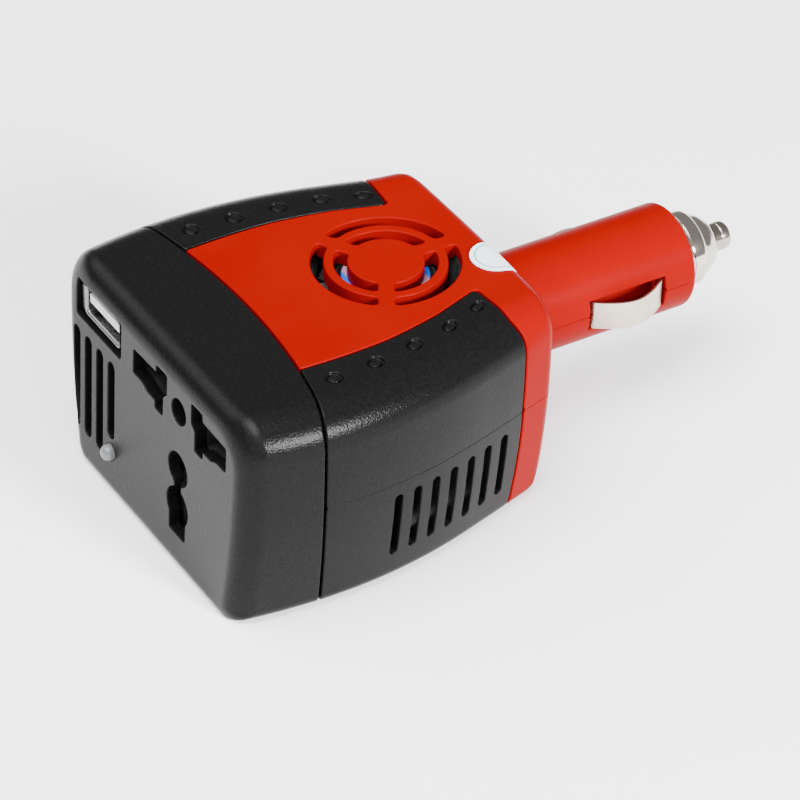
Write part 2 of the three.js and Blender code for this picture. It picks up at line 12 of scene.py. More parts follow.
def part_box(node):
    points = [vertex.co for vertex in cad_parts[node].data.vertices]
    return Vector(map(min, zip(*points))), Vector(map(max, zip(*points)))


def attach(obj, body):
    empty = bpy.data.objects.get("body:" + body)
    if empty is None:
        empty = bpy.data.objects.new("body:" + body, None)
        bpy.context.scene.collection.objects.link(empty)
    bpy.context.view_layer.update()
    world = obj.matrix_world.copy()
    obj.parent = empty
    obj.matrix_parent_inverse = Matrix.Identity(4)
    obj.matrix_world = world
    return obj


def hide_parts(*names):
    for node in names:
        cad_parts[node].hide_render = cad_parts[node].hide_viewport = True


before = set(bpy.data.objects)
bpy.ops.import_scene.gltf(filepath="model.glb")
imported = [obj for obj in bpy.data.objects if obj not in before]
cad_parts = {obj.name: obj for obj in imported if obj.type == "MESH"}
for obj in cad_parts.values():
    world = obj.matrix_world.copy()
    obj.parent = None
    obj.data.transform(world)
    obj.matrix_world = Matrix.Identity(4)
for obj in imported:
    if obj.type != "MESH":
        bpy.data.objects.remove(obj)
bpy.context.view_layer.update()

# Lengths are in millimetres in the part's drawing frame, where z is 0 at the base and y runs along the plug's axis.
# SHIFT, in metres, takes the drawing's y to the row frame's.
MM = 0.001
TIP_END_Y = 63.5
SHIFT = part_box("tip_contact")[1][1] - TIP_END_Y * MM

HEIGHT = 45.0
FRONT_Y = -62.5  # the front face at SOCKET_Z
FRONT_LEAN = 0.03  # how far it leans out below that, per mm
SOCKET_Z = 35
BACK_Y = 7.3
HALF_WIDTH = 37.0
WIDEST_Y = -40.5
SIDE_RADIUS = 97.0  # the side walls' bow in plan
STRAIGHT_Y = -12.0  # from here to the plug they run straight
BACK_RADIUS = 700.0
FLARE_RADIUS = 170.0  # the side walls' bow in section, from FLARE_Z down
FLARE_Z = 36.5
WALL = 2.2
GAP = 0.4  # between two moulded pieces
LIP = 0.32  # radius of a panel's rim
HOLE_LIP = 0.25  # radius of the front's openings
VENT_LIP = 0.22
PART_LIP = 0.08  # radius of the rim where an upper piece meets a lower one
PART_GAP = 0.04  # the gap there between two grips; between the shells it is twice as wide
CAP_SEAM_Y = -42.4
CAP_SEAM_RADIUS = 140  # the front cap's seam in plan
GRID = 0.8  # spacing of points along the panels' seams
AXIS_Z = 24.8  # plug axis, and the plane where the case halves part
SHOULDER = (8.5, 7.5)  # width and height of the rounding along the case's top edges
FOOT = 2.4  # radius of the rounding along its base edges
FRONT_ROUND = (4.5, 4.4, 1.5)  # depth of the front edge's rounding on top, at the sides and at the base
FRONT_INSET = (4.5, 4.4, 1.7)  # how far it draws the section in there
BACK_ROUND = (3.2, 2.2, 4.0)
BACK_INSET = (3.5, 2.2, 10.0)
FAN_Y = -13.5
GRILLE_RINGS = ((7.1, 9.8), (11.5, 14.1))
GRILLE_DEPTH = 2.95
SCREWS = ((17.5, -37.5), (-17.5, -37.5), (18.3, 1.3), (-18.3, 1.3))
SCREW_HOLE_R = 2.8
LAMP = (-15.7, 9.1)  # x and z of the status lamp on the front
USB = (-20.45, 36.5)  # and of the USB socket

# The outer surface laid flat: u runs round the section from the top's middle line to the base's.
TOP_U = 28.5
WALL_U = TOP_U + 12.6
BASE_U = WALL_U + HEIGHT - SHOULDER[1] - FOOT
FLOOR_U = BASE_U + FOOT * pi / 2
END_U = FLOOR_U + 30.1
PART_U = WALL_U + HEIGHT - SHOULDER[1] - AXIS_Z

BARREL_R = 10.4
BARREL_ROOT = 0.6
BARREL_END_Y = 49.8
BARREL_END_ROUND = 1.2
NECK_Y = 42.5
WINDOW = (25.65, 42.55)  # y range of the side contacts' openings
WINDOW_UP, WINDOW_DOWN = 3.05, 3.55  # their reach above and below the axis
CAP_LIP = 0.45


# ---------- Flat outlines ----------

def resample(path, step, closed=False):
    """The same line with points about one step apart."""
    points = [Vector(p) for p in path] + ([Vector(path[0])] if closed else [])
    result = []
    for a, b in zip(points, points[1:]):
        count = max(1, round((b - a).length / step))
        result += [a.lerp(b, k / count) for k in range(count)]
    return result if closed else result + [points[-1]]


def relax(path, times, closed=False):
    """Softens the corners of an evenly sampled line."""
    points = list(path)
    for _ in range(times):
        n = len(points)
        inner = range(n) if closed else range(1, n - 1)
        moved = list(points)
        for i in inner:
            moved[i] = (points[i - 1] + points[i] * 2 + points[(i + 1) % n]) / 4
        points = moved
    return points


def offset(path, distance, closed=False):
    """The line moved sideways, to its left for a positive distance."""
    n = len(path)
    result = []
    for i, p in enumerate(path):
        before = path[i - 1] if closed or i else None
        after = path[(i + 1) % n] if closed or i < n - 1 else None
        sides = [Vector((-d.y, d.x)) for d in (
            (p - before).normalized() if before is not None else None,
            (after - p).normalized() if after is not None else None) if d is not None]
        normal = sum(sides, Vector((0, 0))).normalized()
        stretch = min(1.5, 1 / max(0.1, normal.dot(sides[0])))
        result.append(p + normal * distance * stretch)
    return result


def soft_loop(path, step, times):
    return relax(resample(path, step, closed=True), times, closed=True)


def around(x, y, radius, angle):
    """The point at an angle on a circle."""
    return Vector((x + radius * cos(angle), y + radius * sin(angle)))


def circle(x, y, radius, step=0.5):
    count = max(12, round(2 * pi * radius / step))
    return [around(x, y, radius, 2 * pi * k / count) for k in range(count)]


def slot(x, low, high, width, step=0.4):
    """Outline of a slot with round ends, its long axis along the second coordinate."""
    r = width / 2
    arc = [pi * k / 8 for k in range(9)]
    ends = [around(x, high - r, r, a) for a in arc] + [around(x, low + r, -r, a) for a in arc]
    return resample(ends, step, closed=True)


def signed_area(loop):
    return sum(a.x * b.y - b.x * a.y for a, b in zip(loop, loop[1:] + loop[:1])) / 2


def hole(loop, lip):
    """A hole's outline, opened by its rim's radius and run clockwise."""
    loop = [Vector(p) for p in loop]
    if signed_area(loop) > 0:
        loop.reverse()
    return offset(loop, lip, closed=True)


def inside(xs, ys, loops):
    """Which points lie within the outline and outside its holes."""
    odd = np.zeros(len(xs), bool)
    for loop in loops:
        for a, b in zip(loop, loop[1:] + loop[:1]):
            crosses = (a.y > ys) != (b.y > ys)
            if crosses.any():
                at = a.x + (ys - a.y) * (b.x - a.x) / (b.y - a.y if b.y != a.y else 1)
                odd ^= crosses & (xs < at)
    return odd


def clear_of(others, pool, reach):
    """The points of the pool that are farther than the reach from all the others."""
    return pool[np.array([np.min(np.sum((others - q) ** 2, axis=1)) > reach ** 2 for q in pool], bool)]


def fill(loops, step, extra=()):
    """Points and triangles that cover the area within the loops."""
    rim = [p for loop in loops for p in loop]
    edges, first = [], 0
    for loop in loops:
        n = len(loop)
        edges += [(first + i, first + (i + 1) % n) for i in range(n)]
        first += n
    low = [min(p[k] for p in loops[0]) for k in (0, 1)]
    high = [max(p[k] for p in loops[0]) for k in (0, 1)]
    field = []
    row_step = step * math.sqrt(3) / 2
    for j in range(int((high[1] - low[1]) / row_step) + 1):
        shift = step / 2 * (j % 2)
        field += [(low[0] + shift + i * step, low[1] + j * row_step)
                  for i in range(int((high[0] - low[0]) / step) + 1)]
    near = np.array([(p.x, p.y) for p in rim])
    pool = np.array(field)
    pool = pool[inside(pool[:, 0], pool[:, 1], loops)]
    pool = clear_of(near, pool, 0.6 * step)
    if len(extra):
        own = np.array([(p.x, p.y) for p in extra])
        own = own[inside(own[:, 0], own[:, 1], loops)]
        pool = np.vstack([clear_of(own, pool, 0.5 * step), own])
    points = [Vector((p.x, p.y)) for p in rim] + [Vector((float(x), float(y))) for x, y in pool]
    made = delaunay_2d_cdt(points, edges, [], 0, 1e-6)
    flat, triangles = made[0], made[2]
    centres = np.array([[sum(flat[i][k] for i in t) / 3 for k in (0, 1)] for t in triangles])
    good = inside(centres[:, 0], centres[:, 1], loops)
    return flat, [list(t) for t, keep in zip(triangles, good) if keep]


def bridge(upper, lower):
    """Faces between two rings of vertices that lie one behind the other."""
    pairs = list(zip(upper, lower))
    return [[b[0], a[0], a[1], b[1]] for a, b in zip(pairs, pairs[1:] + pairs[:1])]


# ---------- Skins: surfaces that are thickened into closed panels ----------

WELD = 0.02  # points of two patches closer than half of this are one
NEIGHBOURS = [(i, j, k) for i in (0, -1, 1) for j in (0, -1, 1) for k in (0, -1, 1)]


class Skin:
    """The outer side of a moulded panel, built from patches that share their edges."""

    def __init__(self):
        self.points, self.normals, self.faces, self.known = [], [], [], {}

    def vertex(self, point, normal):
        """The number of the vertex at a point; patches that meet share it."""
        cell = tuple(math.floor(c / WELD) for c in point)
        for step in NEIGHBOURS:
            for i in self.known.get((cell[0] + step[0], cell[1] + step[1], cell[2] + step[2]), ()):
                if (self.points[i] - point).length < WELD / 2:
                    return i
        self.known.setdefault(cell, []).append(len(self.points))
        self.points.append(Vector(point))
        self.normals.append(Vector(normal))
        return len(self.points) - 1

    def face(self, *corners):
        ring = [c for i, c in enumerate(corners) if c != corners[i - 1]]
        if len(ring) > 2:
            self.faces.append(ring)

    def patch(self, flat, triangles, place):
        """Adds flat triangles, each point put where place(a, b) says."""
        ids = []
        for p in flat:
            a, b, e = p[0], p[1], 0.02
            across = place(a + e, b) - place(a - e, b)
            along = place(a, b + e) - place(a, b - e)
            ids.append(self.vertex(place(a, b), across.cross(along).normalized()))
        for t in triangles:
            self.face(*(ids[i] for i in t))

    def rims(self):
        """Every open edge as an ordered ring of vertices."""
        inner = {(f[i - 1], f[i]) for f in self.faces for i in range(len(f))}
        after = {a: b for a, b in inner if (b, a) not in inner}
        rings = []
        while after:
            start = next(iter(after))
            ring, at = [start], after.pop(start)
            while at != start:
                ring.append(at)
                at = after.pop(at)
            rings.append(ring)
        return rings

    def thicken(self, deep, lip, way=lambda p, n: n, steps=4):
        """Rounds every rim by lip(point), runs its wall down by deep(point) and closes the inner side.

        The walls run in against way(point, normal)."""
        rings = self.rims()
        outer_faces = [list(f) for f in self.faces]
        count = len(self.points)
        for i in range(count):
            p, n = self.points[i], self.normals[i]
            self.points.append(p - way(p, n) * deep(p))
            self.normals.append(-n)
        self.faces += [[i + count for i in reversed(f)] for f in outer_faces]
        for ring in rings:
            size = len(ring)
            outward = []
            for k, i in enumerate(ring):
                a, p, b = self.points[ring[k - 1]], self.points[i], self.points[ring[(k + 1) % size]]
                n = self.normals[i]
                sides = [(p - a).normalized().cross(n), (b - p).normalized().cross(n)]
                mean = (sides[0] + sides[1]).normalized()
                outward.append(mean * min(1.4, 1 / max(0.3, mean.dot(sides[0]))))
            rows = [list(ring)]
            for s in range(1, steps + 2):
                row = []
                for i, out in zip(ring, outward):
                    p, n, r = self.points[i], self.normals[i], lip(self.points[i])
                    turn = min(1, s / steps) * pi / 2
                    down = deep(p) if s > steps else r * (1 - cos(turn))
                    row.append(len(self.points))
                    self.points.append(p + out * r * sin(turn) - way(p, n) * down)
                    self.normals.append((n * cos(turn) + out * sin(turn)).normalized())
                rows.append(row)
            rows.append([i + count for i in ring])
            for upper, lower in zip(rows, rows[1:]):
                self.faces += bridge(upper, lower)
        return self


def piece(name, points, faces, look, body, node, normals=None):
    """A mesh piece in the row frame that rides a body and stands for a CAD node."""
    mesh = bpy.data.meshes.new(name)
    mesh.from_pydata([(p[0] * MM, p[1] * MM + SHIFT, p[2] * MM) for p in points], [], faces)
    mesh.polygons.foreach_set("use_smooth", [True] * len(mesh.polygons))
    mesh.validate()
    if normals is not None:
        mesh.normals_split_custom_set_from_vertices([tuple(n) for n in normals])
    obj = bpy.data.objects.new(name, mesh)
    bpy.context.scene.collection.objects.link(obj)
    mesh.materials.append(look)
    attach(obj, body)
    if node:
        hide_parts(node)
    return obj


def skin_piece(name, skin, look, body, node):
    return piece(name, skin.points, skin.faces, look, body, node, skin.normals)


def soften(obj, width):
    """Rounds a piece's edges and keeps its faces flat-looking."""
    bevel = obj.modifiers.new("edges", "BEVEL")
    bevel.width = width * MM
    bevel.segments = 2
    bevel.limit_method = "ANGLE"
    bevel.angle_limit = math.radians(35)
    bevel.harden_normals = False
    bevel.use_clamp_overlap = True
    obj.data.polygons.foreach_set("use_smooth", [True] * len(obj.data.polygons))
    weighted = obj.modifiers.new("shading", "WEIGHTED_NORMAL")
    weighted.keep_sharp = True


def turned(profile, centre, axis, segments=64):
    """Points and faces of a solid of revolution from (distance, radius) pairs.

    The profile starts and ends on the axis, or closes on itself."""
    along, side, up = axis
    points, faces, rows = [], [], []
    for d, r in profile:
        if r < 1e-6:
            rows.append([len(points)])
            points.append(centre + along * d)
            continue
        rows.append(list(range(len(points), len(points) + segments)))
        points += [centre + along * d + (side * cos(2 * pi * k / segments)
                                         + up * sin(2 * pi * k / segments)) * r for k in range(segments)]
    pairs = list(zip(rows, rows[1:]))
    if len(rows[0]) > 1 and len(rows[-1]) > 1:
        pairs.append((rows[-1], rows[0]))
    for low, high in pairs:
        for k in range(segments):
            j = (k + 1) % segments
            ring = [low[k % len(low)], low[j % len(low)], high[j % len(high)], high[k % len(high)]]
            ring = [c for i, c in enumerate(ring) if c != ring[i - 1]]
            if len(ring) > 2:
                faces.append(ring)
    return points, faces


PLUG_AXIS = (Vector((0, 1, 0)), Vector((0, 0, 1)), Vector((1, 0, 0)))


def rounded_profile(corners, steps=4):
    """A profile whose (distance, radius, rounding) corners are replaced by arcs."""
    result = []
    n = len(corners)
    for i, (d, r, bend) in enumerate(corners):
        here = Vector((d, r))
        if not bend:
            result.append((d, r))
            continue
        before = Vector(corners[i - 1][:2]) - here
        after = Vector(corners[(i + 1) % n][:2]) - here
        reach = min(bend, before.length * 0.48, after.length * 0.48)
        a, b = here + before.normalized() * reach, here + after.normalized() * reach
        for k in range(steps + 1):
            t = k / steps
            q = a.lerp(here, t).lerp(here.lerp(b, t), t)
            result.append((q.x, q.y))
    return result


# ---------- The case's surface ----------

def half_width(y):
    bowed = min(y, STRAIGHT_Y) - WIDEST_Y
    return HALF_WIDTH - bowed ** 2 / (2 * SIDE_RADIUS) - max(0.0, y - STRAIGHT_Y) * bowed / SIDE_RADIUS


def front_lean(y, z):
    """How far the leaning front face moves a point near it."""
    return FRONT_LEAN * (z - SOCKET_Z) * min(1.0, max(0.0, (-50 - y) / 12.5))


def shoulder(y):
    """Width and height of the rounding along the top edges, which tightens next to the plug."""
    t = min(1.0, max(0.0, (y + 3) / 9))
    return [size * (1 - 0.15 * t * t * (3 - 2 * t)) for size in SHOULDER]


def flare(z):
    return max(0.0, FLARE_Z - z) ** 2 / (2 * FLARE_RADIUS)


def section(s, y):
    """A point of the upright section at y, at a distance s round it from the top's middle."""
    w = half_width(y)
    wide, high = shoulder(y)
    if s <= TOP_U:
        return s * (w - wide) / TOP_U, HEIGHT
    if s <= WALL_U:
        a = (s - TOP_U) / (WALL_U - TOP_U) * pi / 2
        return w - wide * (1 - sin(a)), HEIGHT - high * (1 - cos(a))
    if s <= PART_U:
        z = HEIGHT - high - (s - WALL_U) * (HEIGHT - high - AXIS_Z) / (PART_U - WALL_U)
        return w - flare(z), z
    if s <= BASE_U:
        z = AXIS_Z - (s - PART_U)
        return w - flare(z), z
    edge = w - flare(0) - FOOT
    if s <= FLOOR_U:
        a = (s - BASE_U) / (FLOOR_U - BASE_U) * pi / 2
        z = FOOT * (1 - sin(a))
        return w - flare(z) - FOOT * (1 - cos(a)), z
    return edge * (END_U - s) / (END_U - FLOOR_U), 0.0


def along_section(s, top, side, base):
    """A value that changes from the top's to the side's to the base's."""
    if s < WALL_U:
        t = max(0.0, (s - TOP_U) / (WALL_U - TOP_U))
        return top + (side - top) * t
    t = min(1.0, max(0.0, (s - BASE_U) / (FLOOR_U - BASE_U)))
    return side + (base - side) * t


def close_in(x, z, w, lift, top, side, base):
    """Draws a section point towards the plug's axis by the end rounding's insets."""
    x *= 1 - side * lift / w
    reach = top / (HEIGHT - AXIS_Z) if z > AXIS_Z else base / AXIS_Z
    return x, AXIS_Z + (z - AXIS_Z) * (1 - reach * lift)


def case_point(u, v):
    """Where a place on the flat map lies on the case."""
    if u > END_U:
        u -= 2 * END_U
    side, s = (1 if u >= 0 else -1), abs(u)
    front = along_section(s, *FRONT_ROUND)
    back = along_section(s, *BACK_ROUND)
    y, front_lift, back_lift = v, 0.0, 0.0
    if v < FRONT_Y + front:
        a = (FRONT_Y + front - v) / front * pi / 2
        y, front_lift = FRONT_Y + front * (1 - sin(a)), 1 - cos(a)
    elif v > BACK_Y - back:
        a = (v - BACK_Y + back) / back * pi / 2
        y, back_lift = BACK_Y - back * (1 - sin(a)), 1 - cos(a)
    x, z = section(s, y)
    w = half_width(y)
    x, z = close_in(x, z, w, front_lift, *FRONT_INSET)
    x, z = close_in(x, z, w, back_lift, *BACK_INSET)
    bend = min(1.0, max(0.0, (y + 5) / 12.3))
    y += front_lean(y, z) - x * x / (2 * BACK_RADIUS) * bend
    return Vector((side * x, y, z))


def find(x, y, base=False):
    """The flat-map place of a point given in plan, on the top or on the base."""
    u, v = (END_U - x if base else x), y
    for _ in range(14):
        p = case_point(u, v)
        u += (p.x - x) if base else (x - p.x)
        v += y - p.y
    return Vector((u, v))


def seam_v(u):
    """Where the front cap ends, on the flat map."""
    v = -45.0
    for _ in range(6):
        p = case_point(u, v)
        v += CAP_SEAM_Y - p.x ** 2 / (2 * CAP_SEAM_RADIUS) - p.y
    return v


GRIP_EDGE = [(21.2, -44.0), (21.2, -25.5), (20.2, -19.5), (18.9, -13.5), (17.2, -8.5), (15.6, -3.8)]
GRIP_BACK = [(15.6, -3.8), (26.0, -2.8), (28.9, -1.2), (45.0, -0.5)]
GRIP_LEAN = 0.045  # the back edge's way towards the plug, per mm below the axis


def grip_back_v(u):
    """Where a grip ends towards the plug, on the flat map."""
    v = -1.0
    for _ in range(8):
        p = case_point(u, v)
        x = abs(p.x)
        for (x0, y0), (x1, y1) in zip(GRIP_BACK, GRIP_BACK[1:]):
            if x <= x1:
                break
        v += y0 + (y1 - y0) * (x - x0) / (x1 - x0) + GRIP_LEAN * max(0.0, AXIS_Z - p.z) - p.y
    return v


def grip_line(base):
    """The line between shell and grip as (distance round from the middle line, v).

    It runs from the cap's seam to the parting plane."""
    def q_of(s):
        return END_U - s if base else s
    edge = [find(x, y, base) for x, y in GRIP_EDGE]
    start = edge[0].x
    seam = seam_v(start)
    path = [Vector((q_of(start), seam))] + [Vector((q_of(p.x), p.y)) for p in edge[1:]]
    corner = q_of(edge[-1].x)
    last = q_of(PART_U)
    count = round((last - corner) / GRID)
    for k in range(1, count + 1):
        q = corner + (last - corner) * k / count
        path.append(Vector((q, grip_back_v(q_of(q)))))
    return relax(resample(path, GRID), 3)


# ---------- Case pieces ----------

def grille_slots():
    """Six curved slots in two rings, between three spokes."""
    loops = []
    half_spoke = 1.45
    for inner, outer in GRILLE_RINGS:
        for spoke in (90, 210, 330):
            near, far = (math.asin(half_spoke / r) for r in (inner, outer))
            a, b = math.radians(spoke), math.radians(spoke + 120)
            arc = [(outer, a + far + (b - a - 2 * far) * k / 40) for k in range(41)]
            arc += [(inner, b - near - (b - a - 2 * near) * k / 40) for k in range(41)]
            loops.append(soft_loop([around(0, FAN_Y, r, t) for r, t in arc], 0.45, 4))
    return loops


def shell_skin(turn):
    """Outer side of a case half with its half of the barrel: turn 1 is the upper half, -1 the lower."""
    base = turn < 0
    skin = Skin()
    line = grip_line(base)
    start = line[0].x
    seam = [Vector((q, seam_v(END_U - q if base else q))) for q in (start * k / 26 for k in range(26))]
    last = line[-1].x
    wall_count = round((BACK_Y - line[-1].y) / GRID)
    wall = [Vector((last, line[-1].y + (BACK_Y - line[-1].y) * k / wall_count)) for k in range(1, wall_count + 1)]
    right = offset(seam + line + wall, GAP / 2 + LIP)
    for p in right:
        if p.x > last - GAP / 2 - LIP - 0.1:
            p.x = last - PART_GAP - PART_LIP
    right[0].x = 0.0
    right[-1] = Vector((right[-2].x, BACK_Y))
    edge = [Vector((right[-1].x * (1 - k / 75), BACK_Y)) for k in range(1, 150)]
    left = [Vector((-p.x, p.y)) for p in reversed(right)][:-1]
    outline = right + edge + left

    def place(q, v):
        return case_point(q + END_U if base else q, v)

    cuts = [circle(x, y, SCREW_HOLE_R) for x, y in SCREWS] if base else grille_slots()
    holes = []
    for loop in cuts:
        flat = [find(abs(p.x), p.y, base) for p in loop]
        q = [(END_U - f.x if base else f.x) * (1 if p.x >= 0 else -1) for f, p in zip(flat, loop)]
        holes.append(hole([(a, f.y) for a, f in zip(q, flat)], LIP * 0.8))
    skin.patch(*fill([outline] + holes, 0.95), place)
    back_face(skin, turn, [place(p.x, p.y) for p in [right[-1]] + edge + [left[0]]])
    return skin


def barrel_angles(turn):
    """Angles round the barrel from one parting edge of this half to the other."""
    low = (PART_GAP + PART_LIP) / BARREL_R
    return [low + (pi - 2 * low) * k / 60 for k in range(61)]


def back_face(skin, turn, edge):
    """Adds the case half's back face and its half of the barrel to the skin."""
    rim_r = BARREL_R + BARREL_ROOT
    angles = barrel_angles(turn)
    arc = [around(0, 0, rim_r, t) for t in reversed(angles)]

    def place_back(a, b):
        return Vector((-turn * a, BACK_Y - a * a / (2 * BACK_RADIUS), AXIS_Z + turn * b))

    flat_edge = [Vector((-turn * p.x, turn * (p.z - AXIS_Z))) for p in edge]
    left = resample([flat_edge[0], arc[0]], 0.9)
    right = resample([arc[-1], flat_edge[-1]], 0.9)
    outline = left[:-1] + arc + right[1:] + flat_edge[-2:0:-1]
    skin.patch(*fill([outline], 1.0), place_back)

    def place_barrel(s, w):
        t = s / BARREL_R
        d = w - BACK_Y
        root = BARREL_ROOT * pi / 2
        if d < root:
            a = d / BARREL_ROOT
            r, y = BARREL_R + BARREL_ROOT * (1 - sin(a)), BARREL_ROOT * (1 - cos(a))
        else:
            r, y = BARREL_R, BARREL_ROOT + d - root
        x, z = -r * cos(t), r * sin(t)
        y += BACK_Y - x * x / (2 * BACK_RADIUS) * max(0.0, 1 - d / 3)
        return Vector((turn * x, y, AXIS_Z + turn * z))

    extra = BARREL_ROOT * (pi / 2 - 1)
    end = BARREL_END_Y - BARREL_END_ROUND + extra
    low, high = WINDOW[0] + extra - LIP, WINDOW[1] + extra + LIP
    reach = WINDOW_UP if turn > 0 else WINDOW_DOWN
    notch = math.asin(reach / BARREL_R) * BARREL_R + LIP
    start, stop = angles[0] * BARREL_R, angles[-1] * BARREL_R
    right_side = resample([(stop, BACK_Y), (stop, low), (stop - notch + start, low), (stop - notch + start, high),
                           (stop, high), (stop, end)], 0.6)
    top_side = [Vector((stop + (start - stop) * k / 60, end)) for k in range(1, 60)]
    left_side = [Vector((start + stop - p.x, p.y)) for p in reversed(right_side)]
    root_line = [Vector((t * BARREL_R, BACK_Y)) for t in angles][1:-1]
    outline = root_line + right_side + top_side + left_side
    root_rows = (0.35, 0.75, 1.15, pi / 2)
    own = [Vector((t * BARREL_R, BACK_Y + BARREL_ROOT * a)) for t in angles[1:-1] for a in root_rows]
    skin.patch(*fill([outline], 0.75, own), place_barrel)


def shell_depth(p):
    """The barrel's neck and the fan's grille are thicker than the walls."""
    if p.y > NECK_Y + 2:
        return 3.45
    return GRILLE_DEPTH if p.z > HEIGHT - 0.5 and math.hypot(p.x, p.y - FAN_Y) < 13.9 else WALL


def shell_lip(p):
    if p.y > BARREL_END_Y - BARREL_END_ROUND - 0.1:
        return BARREL_END_ROUND
    return PART_LIP if abs(p.z - AXIS_Z) < 0.3 else LIP


def shell_way(p, n):
    """Round the side contacts' openings the barrel's wall runs straight in, to let the strips be pressed in."""
    beside = max(WINDOW[0] - p.y, p.y - WINDOW[1], 0)
    t = min(1, max(0, 1.5 - beside)) * min(1, max(0, 5 - abs(p.z - AXIS_Z)))
    return n.lerp(Vector((math.copysign(1, p.x), 0, 0)), t).normalized()


def build_shells(look):
    for name, turn in (("top_shell", 1), ("bottom_shell", -1)):
        skin = shell_skin(turn).thicken(shell_depth, shell_lip, shell_way)
        skin_piece(name + "_moulding", skin, look, "root", name)


STUDS = [(26.4, -39.8), (25.9, -31.0), (24.8, -22.2), (23.1, -13.8), (20.4, -6.3)]
STUD_RINGS = (0, 0.4, 0.75, 1.0, 1.1, 1.2, 1.3, 1.4, 1.55, 1.65, 1.75, 1.85, 2.05, 2.4)
STUD_DEPTH = 0.85
VENTS = [-31.5 + 4.3 * k for k in range(7)]
VENT_Z = (6.9, 21.8)
VENT_WIDTH = 1.7


def stud_depth(r):
    """Depth of a stud's ring groove and its sunken dome at a distance from its centre."""
    if r < 1.0:
        return 0.25 * r ** 2
    if r < 1.4:
        return 0.25 + 0.6 * (0.5 - 0.5 * cos(pi * (r - 1.0) / 0.4))
    if r < 1.55:
        return STUD_DEPTH
    if r < 1.85:
        return STUD_DEPTH * (0.5 + 0.5 * cos(pi * (r - 1.55) / 0.3))
    return 0.0


def grip_skin(side, base):
    """One quarter of the black grips: the upper ones carry studs, the lower ones vents."""
    line = grip_line(base)
    last = line[-1].x
    seam_count = round((last - line[0].x) / GRID)
    seam = [Vector((q, seam_v(END_U - q if base else q)))
            for q in (line[0].x + (last - line[0].x) * k / seam_count for k in range(1, seam_count + 1))]
    wall_count = round((line[-1].y - seam[-1].y) / GRID)
    wall = [seam[-1].lerp(line[-1], k / wall_count) for k in range(1, wall_count)]
    loop = [line[0]] + seam + wall + list(reversed(line))[:-1]
    loop = offset(loop, GAP / 2 + LIP, closed=True)
    for p in loop:
        if p.x > last - GAP / 2 - LIP - 0.1:
            p.x = last - PART_GAP / 2 - PART_LIP
    # On the base the flat map's first coordinate runs towards the left side, so there the right grip is mirrored.
    mirrored = (side > 0) == base
    if mirrored:
        loop = [Vector((-p.x, p.y)) for p in reversed(loop)]

    def place(q, v):
        return case_point(q + END_U if base else q, v)

    studs = [] if base else [place_of_stud(x * side, y) for x, y in STUDS]

    def dented(q, v):
        p, n = place(q, v), Vector((0, 0, 1))
        near = min(((Vector((q, v)) - c).length for c in studs), default=9)
        return p - n * stud_depth(near)

    holes, extra = [], []
    if base:
        sign = -1 if mirrored else 1
        low, high = (END_U - (WALL_U + HEIGHT - SHOULDER[1] - z) for z in VENT_Z)
        for y in VENTS:
            holes.append(hole([Vector((sign * p.y, p.x)) for p in slot(y, low, high, VENT_WIDTH)], VENT_LIP))
    for c in studs:
        for r in STUD_RINGS:
            count = max(1, round(2 * pi * r / 0.33))
            extra += [c + around(0, 0, r, 2 * pi * k / count) for k in range(count)]
    skin = Skin()
    skin.patch(*fill([loop] + holes, GRID, extra), dented if studs else place)
    return skin


def place_of_stud(x, y):
    flat = find(abs(x), y)
    return Vector((flat.x * (1 if x > 0 else -1), flat.y))


def grip_lip(p):
    if abs(p.z - AXIS_Z) < 0.5:
        return PART_LIP
    return VENT_LIP if 5 < p.z < 23 and -33.5 < p.y < -4 else LIP


def build_grips(look):
    for label, side in (("left", -1), ("right", 1)):
        for level, base in (("upper", False), ("lower", True)):
            name = f"grip_{level}_{label}"
            skin = grip_skin(side, base).thicken(lambda p: WALL, grip_lip)
            skin_piece(name + "_panel", skin, look, "root", name)


SOCKET_X = 10.2
APERTURE = [
    (17.2, 38.1), (8.6, 38.4), (8.6, 40.0), (4.6, 40.0), (4.6, 35.8), (6.0, 34.6), (6.0, 30.4),
    (8.9, 30.4), (8.9, 32.0), (12.0, 32.1), (13.8, 33.0), (17.2, 33.0),
]


def keyhole():
    """The earth way: a round hole joined by a slit to a larger one with a square foot."""
    upper, lower, slit, foot = (22.3, 3.5), (13.9, 3.9), 1.2, 2.9
    a = math.asin(slit / upper[1])
    b = math.asin(slit / lower[1])
    c = math.asin(foot / lower[1])
    arc = [-pi / 2 + a + (2 * pi - 2 * a) * k / 30 for k in range(31)]
    top = [(upper[1] * cos(t), upper[0] + upper[1] * sin(t)) for t in arc]
    sweep = [pi / 2 + b + (pi - b - c) * k / 14 for k in range(15)]
    left = [(lower[1] * cos(t), lower[0] + lower[1] * sin(t)) for t in sweep]
    right = [(-x, z) for x, z in reversed(left)]
    outline = top + left + [(-foot, 7.4), (foot, 7.4)] + right
    return soft_loop([(SOCKET_X + x, z) for x, z in outline], 0.35, 2)


def front_holes():
    """The USB window, four vents of which the last is shorter, the mains apertures and the lamp's hole."""
    usb = [(USB[0] + x, USB[1] + z) for x, z in ((-8.6, -4), (8.6, -4), (8.6, 4), (-8.6, 4))]
    flat = [soft_loop(usb, 0.4, 3)]
    flat += [slot(-29.0 + 4.5 * k, 12.4 if k == 3 else 7.0, 29.6, 2.5) for k in range(4)]
    flat += [soft_loop([(SOCKET_X + side * u, z) for u, z in APERTURE], 0.4, 1) for side in (-1, 1)]
    return flat + [circle(SOCKET_X, 35.1, 2.6, 0.4), keyhole(), circle(*LAMP, 1.72, 0.35)]


